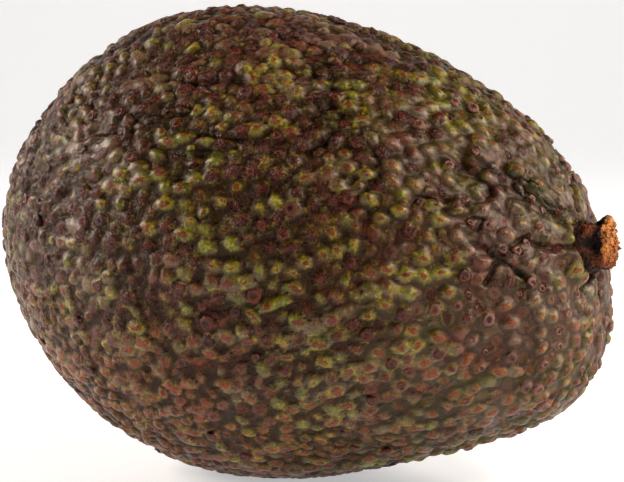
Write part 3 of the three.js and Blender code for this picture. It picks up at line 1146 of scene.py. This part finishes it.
    def _stem_end(self, tree: GeometryTree) -> tuple[Wire, Wire, Wire]:
        """Shapes the skin round the stem.

        Args:
            tree: The skin's tree.

        Returns:
            The distance from the stem's spot, the rise of the lip less the dimple's depth, both in
            metres, and 1 in the stub's pocket.
        """
        radius = tree.size("Pocket Radius", self.pocket_radius)
        from_stem = tree.position() - tuple(self.form_point(self.stem_spot))
        away = tree.math("LENGTH", from_stem)
        _, aside, _ = tree.parts(tree.math("NORMALIZE", from_stem))
        lean = tree.math("MAXIMUM", -aside, 0.0) * self.lip_lean
        dimple = tree.bell(away, 0.0, self.dimple_reach) * self.dimple_depth
        lip = tree.bell(away, self.lip_radius, self.lip_width) * (lean + self.lip_height)
        outer, inner = self.pocket_edge
        return away, lip - dimple, tree.step(away, radius * outer, radius * inner)

    def _pebbled(
        self,
        tree: GeometryTree,
        form: Wire,
        place: Wire,
        calm: Wire,
        stemward: Wire,
    ) -> tuple[Wire, Wire]:
        """Strews the warts of both layers.

        Args:
            tree: The skin's tree.
            form: The plain form.
            place: Place on it, in millimetres.
            calm: How calm the skin is.
            stemward: The direction towards the stem.

        Returns:
            The form with its warts kept on it, and their height in millimetres.
        """
        bend = self.wart_bend - calm * self.calm_bend
        bent = tree.position() + tree.math("SCALE", tree.noise_vector(place, self.bend_grain), bend)
        heights = []
        for layer in (BIG_WARTS, SMALL_WARTS):
            away, lot, meeting = layer.strew(tree, form, bent, stemward)
            distance = tree.math("LENGTH", away)
            kept = {"meeting": meeting, "away": away, "distance": distance, "lot": lot}
            for name, value in kept.items():
                form = tree.store(form, f"{layer.name.lower()}_{name}", value)
            heights.append(layer.dome(tree, distance, lot, calm)[1])
        return form, tree.math("SMOOTH_MAX", *heights, WART_BLEND)

    def _rested(self, tree: GeometryTree, raised: Wire) -> Wire:
        """Presses the skin flat on the floor where it rests.

        Args:
            tree: The skin's tree.
            raised: The raised skin.

        Returns:
            The skin, nowhere below the floor.
        """
        radius = tree.size("Rest Radius", self.rest_radius)
        x, y, z = tree.parts(tree.position())
        middle = (self.rest_spot[0] + self.middle.x, self.rest_spot[1] + self.middle.y, 0.0)
        away = tree.math("LENGTH", tree.vector(x, y, 0.0) - middle)
        outer, inner = self.rest_edge
        spot = tree.step(away, radius * outer, radius * inner) * tree.step(z, *self.rest_height)
        return tree.place(raised, tree.vector(x, y, tree.math("MAXIMUM", z, 0.0) * (1.0 - spot)))

    def build(self, finish: SkinFinish) -> bpy.types.Object:
        """Builds the skin.

        Args:
            finish: The skin's finish.

        Returns:
            The skin's object.
        """
        tree = GeometryTree("pebbled_skin")
        wart_scale = tree.size("Wart Height", MM)
        pocket_depth = tree.size("Pocket Depth", self.pocket_depth)
        crease_depth = tree.size("Crease Depth", self.crease_depth)
        highest = tree.size("Highest Wart", self.highest / MM)
        form, unit = self.plain_form(tree)
        place = tree.position() / MM
        form = tree.store(form, Kept.PLACE.value, place)
        flow, stemward = FLOW.unroll(tree, unit, self.stem_spot)
        form = tree.store(form, Kept.FLOW.value, flow)
        form = tree.store(form, Kept.CALM.value, FLOW.calm(tree, place))
        calm = tree.named(Kept.CALM.value)
        form, crease = self._creased(tree, form, place)
        form, pebbles = self._pebbled(tree, form, place, calm, stemward)
        stem_away, lip, pocket = self._stem_end(tree)

        lumps = FLOW.lumps(tree, flow, calm) - 0.5
        furrow = FLOW.furrow(tree, flow, place, FLOW.furrow_width)
        fade = tree.between(tree.step(stem_away, *self.stem_fade), self.stem_relief, 1.0)
        crumple = self.crumple - calm * self.calm_crumple
        crumpled = 1.0 + (tree.noise(place, self.crumple_grain, 1.0) - 0.5) * crumple
        pebbles = pebbles * (self.pebble_height + lumps * self.lump_swell) * fade * crumpled
        relief = pebbles + lumps * FLOW.lump_height - furrow * FLOW.furrow_depth
        relief = tree.math("SMOOTH_MIN", relief, highest, 0.2) * wart_scale
        rise = relief * (1.0 - pocket) * (1.0 - crease * self.crease_relief) + lip - crease * crease_depth
        raised = tree.place(form, tree.position() + tree.normal() * (rise - pocket * pocket_depth))
        rested = {0: self._rested(tree, raised)}
        smooth = tree.wire(tree.node("GeometryNodeSetShadeSmooth", None, rested))
        return tree.make(smooth, self.crease_lines(), "avocado_skin", finish.make())


@dataclass
class CorkCaps:
    """The crusts of cork on the larger warts. Their profile is in shares of the radius."""

    sides: int = 9
    profile: tuple[Band, ...] = ((1.0, -0.55), (0.88, 0.02), (0.62, 0.22), (0.34, 0.1), (0.12, -0.08))
    radius: float = 0.55 * MM
    radius_spread: float = 0.7 * MM
    depth_share: Band = (0.7, 1.2)  # least and greatest, of the radius
    height_share: Band = (0.6, 1.2)
    sink: float = 0.1 * MM
    feeler: float = 0.4 * MM  # how far above the plain form the skin is looked for
    crowded_rarer: float = 0.25  # how much rarer caps are where the skin is crowded
    stem_gap: float = 7.5 * MM  # from the stem's spot
    floor_gap: float = 2.0 * MM
    jitter: float = 0.6 * MM
    jitter_grain: float = 0.9  # in millimetres
    seed: int = 5

    def _cap(self) -> bpy.types.Mesh:
        """Makes one cap of radius 1.

        Returns:
            Its mesh, with its rim value kept on its points.
        """
        points = []
        rims = []
        for radius, height in self.profile:
            for side in range(self.sides):
                angle = 2 * math.pi * side / self.sides
                points.append((radius * math.cos(angle), radius * math.sin(angle), height))
                rims.append(radius)
        faces = ring_faces(len(self.profile) - 1, self.sides)
        last = (len(self.profile) - 1) * self.sides
        faces.append(tuple(range(last, last + self.sides)))
        faces.append(tuple(reversed(range(self.sides))))
        mesh = bpy.data.meshes.new("cork_cap")
        mesh.from_pydata(points, [], faces)
        Kept.RIM.write(mesh, rims)
        mesh.shade_smooth()
        return mesh

    def _warts(self, tree: GeometryTree, fruit: Fruit, skin: bpy.types.Object) -> Wire:
        """Finds the skin's larger warts.

        Args:
            tree: The caps' tree.
            fruit: The fruit.
            skin: Its finished skin.

        Returns:
            A point on each wart, with its tone, its direction and whether it is chosen kept on it.
        """
        form, _ = fruit.plain_form(tree)
        warts, lots, strewn = BIG_WARTS.points(tree, form)
        _, _, kind = tree.parts(lots)
        info = tree.node("GeometryNodeObjectInfo", {"transform_space": "ORIGINAL"}, {"Object": skin})
        outward = tree.wire(strewn, "Normal")
        sought = tree.position() + outward * self.feeler
        near = {0: tree.wire(info, "Geometry"), "Sample Position": sought}
        nearest = tree.node("GeometryNodeProximity", {"target_element": "FACES"}, near)
        tones = tree.node("FunctionNodeRandomValue", {"data_type": "FLOAT"}, {"Seed": self.seed})
        warts = tree.store(warts, Kept.TONE.value, tree.wire(tones, 1))
        stem_away = tree.math("LENGTH", tree.position() - tuple(fruit.form_point(fruit.stem_spot)))
        floor_away = tree.parts(tree.position())[2]
        clear = tree.math("GREATER_THAN", stem_away, self.stem_gap)
        clear = clear * tree.math("GREATER_THAN", floor_away, self.floor_gap)
        calm = FLOW.calm(tree, tree.position() / MM)
        capped_from = CAPPED_FROM + (1.0 - calm) * self.crowded_rarer
        chosen = tree.math("GREATER_THAN", kind, capped_from) * clear
        warts = tree.store(warts, "chosen", chosen)
        warts = tree.store(warts, "outward", outward)
        return tree.place(warts, tree.wire(nearest, "Position") - outward * self.sink)

    def build(self, fruit: Fruit, skin: bpy.types.Object, finish: CorkFinish) -> bpy.types.Object:
        """Builds the caps on the skin's larger warts.

        Args:
            fruit: The fruit.
            skin: Its finished skin.
            finish: The caps' finish.

        Returns:
            The caps, as one object.
        """
        tree = GeometryTree("cork_caps")
        radius = tree.size("Cap Radius", self.radius)
        spread = tree.size("Cap Radius Spread", self.radius_spread)
        warts = self._warts(tree, fruit, skin)
        upright = {"Vector": tree.named("outward", "FLOAT_VECTOR")}
        stand = tree.wire(tree.node("FunctionNodeAlignRotationToVector", {"axis": "Z"}, upright))
        wide, deep, tall = tree.parts(tree.random(self.seed + 1))
        base = radius + spread * wide * deep
        inputs = {
            "Points": warts,
            "Instance": tree.given,
            "Selection": tree.named("chosen"),
            "Rotation": stand,
            "Scale": tree.vector(
                base,
                base * tree.between(deep, *self.depth_share),
                base * tree.between(tall, *self.height_share),
            ),
        }
        caps = tree.wire(tree.node("GeometryNodeInstanceOnPoints", None, inputs))
        caps = tree.wire(tree.node("GeometryNodeRealizeInstances", None, {0: caps}))
        jitter = tree.noise_vector(tree.position() / MM, self.jitter_grain, 2.0) * self.jitter
        caps = tree.place(caps, tree.position() + jitter)
        return tree.make(caps, self._cap(), "cork_caps", finish.make())


@dataclass(frozen=True)
class Lump:
    """A lump of the stub's bark, or a hollow where its rise is below nought. Millimetres."""

    along: float  # from the stub's base
    turn: float  # degrees round the stub from its upper side, towards the side that faces -Y
    reach: float
    rise: float

    def at(self, along: float, turn: float, radius: float) -> float:
        """Returns how much of the lump there is, nought to one, where the bark has that radius."""
        apart = math.radians((turn - self.turn + 180) % 360 - 180) * radius
        return math.exp(-((along - self.along) ** 2 + apart**2) / self.reach**2)


@dataclass
class StemStub:
    """The short corky stalk that is left in the fruit, with its broken end."""

    rise: float = math.radians(6.6)
    turn: float = math.radians(4.5)
    sides: int = 180
    rings: int = 110
    sink: float = 2.2 * MM  # how deep its base sits below the fruit's plain form
    # Runs of [millimetres from the base, radius in millimetres]
    profile: tuple[tuple[float, float], ...] = (
        (0.0, 2.9),
        (0.5, 3.5),
        (1.9, 3.7),
        (3.0, 3.4),
        (3.8, 3.3),
        (4.6, 3.6),
        (5.25, 3.75),
        (5.75, 3.4),
        (6.1, 2.5),
        (6.25, 1.3),
        (6.25, 0.0),
    )
    end_from: float = 0.52  # share of the profile's points where the broken end begins
    end_blend: float = 0.12  # share of them over which the bark gives way to it
    lumps: tuple[Lump, ...] = (
        Lump(3.1, 40, 1.1, 0.6),
        Lump(4.3, 12, 0.8, -0.5),
        Lump(4.7, 122, 1.4, 0.7),
        Lump(3.9, 82, 1.1, -0.75),
        Lump(3.4, 215, 1.5, 0.5),
        Lump(4.6, 290, 1.3, 0.45),
        Lump(3.6, 255, 1.0, -0.5),
        Lump(5.6, 165, 1.7, -0.9),
    )
    splinter: Lump = Lump(5.5, -8, 1.1, 0.7)
    free: Band = (0.4, 2.4)  # from the base, where the bark's lumps reach their full height
    full_lump: float = 0.6  # rise at which a lump has its full colour
    full_radius: float = 3.0  # radius from which the lumps have their full height
    crumb: float = 0.4  # height of the crumbly bark
    seed: Vector = field(default_factory=lambda: Vector((11.3, 4.7, 8.1)))

    @property
    def axis(self) -> Vector:
        """The direction that the stub points."""
        turned = Matrix.Rotation(self.turn, 3, "Z") @ Vector((1, 0, 0))
        return Matrix.Rotation(-self.rise, 3, "Y") @ turned

    def outline(self, share: float) -> tuple[float, float]:
        """Reads the profile.

        Args:
            share: How far along its points, nought to one.

        Returns:
            The distance from the base and the radius there.
        """
        place = share * (len(self.profile) - 1)
        i = min(int(place), len(self.profile) - 2)
        (y0, r0), (y1, r1) = self.profile[i], self.profile[i + 1]
        t = place - i
        return y0 + (y1 - y0) * t, r0 + (r1 - r0) * t

    def _point(self, share: float, degrees: float) -> tuple[Vector, float, float]:
        """Shapes the bark at one point.

        Args:
            share: How far along the profile it is, nought to one.
            degrees: Its turn round the stub, as a lump's.

        Returns:
            The point in millimetres, with the stub along X. Then 1 on the broken end and nought on the
            bark, and the rise of the lumps there.
        """
        y, radius = self.outline(share)
        end = min(1.0, max(0.0, (share - self.end_from) / self.end_blend))
        free = min(1.0, max(0.0, (y - self.free[0]) / (self.free[1] - self.free[0])))
        angle = math.radians(degrees)
        ray = Vector((0, -math.sin(angle), math.cos(angle)))
        spot = Vector((y, 0, 0)) + ray * radius
        rough = noise.fractal(spot * 0.9 + self.seed, 0.7, 2.1, 5) * self.crumb
        lump = sum(each.at(y, degrees, radius) * each.rise for each in self.lumps)
        splinter = self.splinter.at(y, degrees, radius) * self.splinter.rise
        inward = min(1.0, radius / self.full_radius)
        out = ray * (radius + (rough + lump + splinter) * free * inward)
        torn = noise.fractal(spot * 1.2 + self.seed * 2, 0.6, 2.0, 5)
        return Vector((y + (torn + splinter) * 0.5 * end, 0, 0)) + out, end, lump

    def build(self, foot: Vector, finish: StubFinish) -> bpy.types.Object:
        """Builds the stub.

        Args:
            foot: Where its axis meets the fruit's plain form.
            finish: The stub's finish.

        Returns:
            The stub's object.
        """
        turn = Vector((1, 0, 0)).rotation_difference(self.axis).to_matrix()
        made = [
            self._point(ring / self.rings, 360 * side / self.sides)
            for ring in range(self.rings + 1)
            for side in range(self.sides)
        ]
        points = [foot + turn @ point * MM - self.axis * self.sink for point, _, _ in made]
        mesh = bpy.data.meshes.new("stem_stub_bark")
        mesh.from_pydata(points, [], ring_faces(self.rings, self.sides))
        Kept.END.write(mesh, [end for _, end, _ in made])
        Kept.RAISED.write(mesh, [lump / self.full_lump for _, _, lump in made])
        work = bmesh.new()
        work.from_mesh(mesh)
        bmesh.ops.remove_doubles(work, verts=work.verts, dist=1e-6)
        bmesh.ops.holes_fill(work, edges=work.edges)
        bmesh.ops.recalc_face_normals(work, faces=work.faces)
        work.to_mesh(mesh)
        work.free()
        mesh.shade_smooth()
        mesh.materials.append(finish.make())
        return add_object("stem_stub_bark", mesh)


@dataclass
class EndFibres:
    """The torn fibres that stand out of the stub's broken end."""

    density: float = 1.4e6  # a square metre
    length: float = 0.16 * MM
    thickness: float = 0.12 * MM
    sides: int = 5
    seed: int = 8

    def build(self, stub: StemStub, bark: bpy.types.Object) -> bpy.types.Object:
        """Builds the fibres.

        Args:
            stub: The stub.
            bark: Its finished bark, whose material the fibres share.

        Returns:
            The fibres, as one object.
        """
        tree = GeometryTree("end_fibres")
        length = tree.size("Fibre Length", self.length)
        thickness = tree.size("Fibre Thickness", self.thickness)
        on_end = tree.math("GREATER_THAN", tree.named(Kept.END.value), 0.5)
        inputs = {"Mesh": tree.given, "Selection": on_end, "Density": self.density, "Seed": self.seed}
        settings = {"distribute_method": "RANDOM"}
        roots = tree.wire(tree.node("GeometryNodeDistributePointsOnFaces", settings, inputs))
        radii = {"Radius Top": thickness * 0.2, "Radius Bottom": thickness}
        shape = {"Vertices": self.sides, "Depth": length} | radii
        fibre = tree.wire(tree.node("GeometryNodeMeshCone", None, shape))
        fibre = tree.store(fibre, Kept.END.value, tree.position() * 0.0 + (1.0, 1.0, 1.0))
        tilt = tree.random(self.seed + 1, (-0.5, -0.5, -0.5), (0.5, 0.5, 0.5))
        inputs = {"Vector": tilt * 1.1 + tuple(stub.axis)}
        stand = tree.wire(tree.node("FunctionNodeAlignRotationToVector", {"axis": "Z"}, inputs))
        scale = tree.random(self.seed + 2, (0.6, 0.6, 0.3), (1.4, 1.4, 0.9))
        inputs = {"Points": roots, "Instance": fibre, "Rotation": stand, "Scale": scale}
        fibres = tree.wire(tree.node("GeometryNodeInstanceOnPoints", None, inputs))
        return tree.make(fibres, bark.data.copy(), "end_fibres", bark.data.materials[0])


@dataclass
class Studio:
    """The floor, the lights and the camera."""

    target: Vector = field(default_factory=lambda: Vector((0.42, 0.17, 35.67)) * MM)
    azimuth: float = math.radians(22)
    elevation: float = math.radians(6)
    distance: float = 355 * MM
    lens: float = 135.0
    light_away: float = 0.6
    light_colour: Colour = (1.0, 0.88, 0.78)
    floor_size: float = 1.6
    wall: float = 0.7  # how far behind the fruit the floor starts to sweep up
    bend: float = 0.3
    bend_steps: int = 12
    floor_colour: Colour = (0.76, 0.78, 0.8)
    floor_glow: Colour = (0.96, 0.98, 1.0)
    floor_glow_strength: float = 0.45
    world_strength: float = 0.03

    def _toward(self, azimuth: float, elevation: float) -> Vector:
        """Returns the direction from the target to a place round it. Azimuth nought is -Y."""
        flat = math.cos(elevation)
        return Vector((math.sin(azimuth) * flat, -math.cos(azimuth) * flat, math.sin(elevation)))

    def add_camera(self) -> None:
        """Adds the camera at the photo's angle."""
        data = bpy.data.cameras.new("camera")
        data.lens = self.lens
        data.sensor_width = 36.0
        data.clip_start = 0.01
        camera = add_object("camera", data)
        back = self._toward(self.azimuth, self.elevation)
        camera.location = self.target + back * self.distance
        camera.rotation_euler = back.to_track_quat("Z", "Y").to_euler()
        bpy.context.scene.camera = camera

    def add_light(self, name: str, azimuth: float, elevation: float, size: float, power: float) -> None:
        """Adds a square soft light that faces the fruit.

        Args:
            name: The light's name.
            azimuth: Degrees round the fruit. Nought is -Y.
            elevation: Degrees above the floor.
            size: Side in metres.
            power: Watts.
        """
        data = bpy.data.lights.new(name, "AREA")
        data.size = size
        data.energy = power
        data.color = self.light_colour
        light = add_object(name, data)
        back = self._toward(math.radians(azimuth), math.radians(elevation))
        light.location = self.target + back * self.light_away
        light.rotation_euler = back.to_track_quat("Z", "Y").to_euler()

    def add_floor(self) -> None:
        """Adds the pale floor, which sweeps up into a wall behind the fruit."""
        bend = [(i / self.bend_steps) * math.pi / 2 for i in range(self.bend_steps + 1)]
        sweep = [(self.wall + self.bend * math.sin(a), self.bend * (1 - math.cos(a))) for a in bend]
        section = [(-self.floor_size, 0.0), *sweep, (self.wall + self.bend, self.floor_size / 2)]
        turn = Matrix.Rotation(self.azimuth, 3, "Z")
        points = [turn @ Vector((x, y, z)) for y, z in section for x in (-self.floor_size, self.floor_size)]
        faces = [(2 * i, 2 * i + 1, 2 * i + 3, 2 * i + 2) for i in range(len(section) - 1)]
        mesh = bpy.data.meshes.new("floor")
        mesh.from_pydata(points, [], faces)
        mesh.shade_smooth()
        pale = {"Base Color": (*self.floor_colour, 1.0), "Roughness": 0.7}
        glow = {"Emission Color": (*self.floor_glow, 1.0), "Emission Strength": self.floor_glow_strength}
        mesh.materials.append(MaterialTree("floor").finish(pale | glow))
        floor = add_object("floor", mesh)

    def build(self) -> None:
        """Builds the whole studio."""
        self.add_camera()
        self.add_floor()
        self.add_light("left", -74, 25, 0.28, 5.0)
        self.add_light("right", 114, 25, 0.28, 4.0)
        self.add_light("key", 75, 40, 0.16, 2.6)
        world = bpy.data.worlds.new("studio")
        world.use_nodes = True
        graph = Graph(world.node_tree)
        white = {"Color": (1.0, 1.0, 1.0, 1.0), "Strength": self.world_strength}
        shader = graph.node("ShaderNodeBackground", None, white)
        graph.node("ShaderNodeOutputWorld", None, {0: graph.wire(shader)})
        bpy.context.scene.world = world
        bpy.context.scene.view_settings.view_transform = "Standard"


def main() -> None:
    """Builds the avocado and the studio."""
    logging.basicConfig(level=logging.INFO)
    studio = Studio()
    studio.build()
    stub = StemStub()
    fruit = Fruit()
    skin = fruit.build(SkinFinish())
    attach(skin, "root")
    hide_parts("fruit")
    log.info("skin: %d faces", len(skin.data.polygons))
    caps = CorkCaps().build(fruit, skin, CorkFinish())
    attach(caps, "root")
    log.info("cork caps: %d faces", len(caps.data.polygons))
    bark = stub.build(fruit.form_point(fruit.stem_spot), StubFinish())
    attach(bark, "root")
    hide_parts("stem_stub")
    fibres = EndFibres().build(stub, bark)
    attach(fibres, "root")
    log.info("end fibres: %d faces", len(fibres.data.polygons))
    log.info("stub: %d faces", len(bark.data.polygons))


if __name__ == "__main__":
    main()
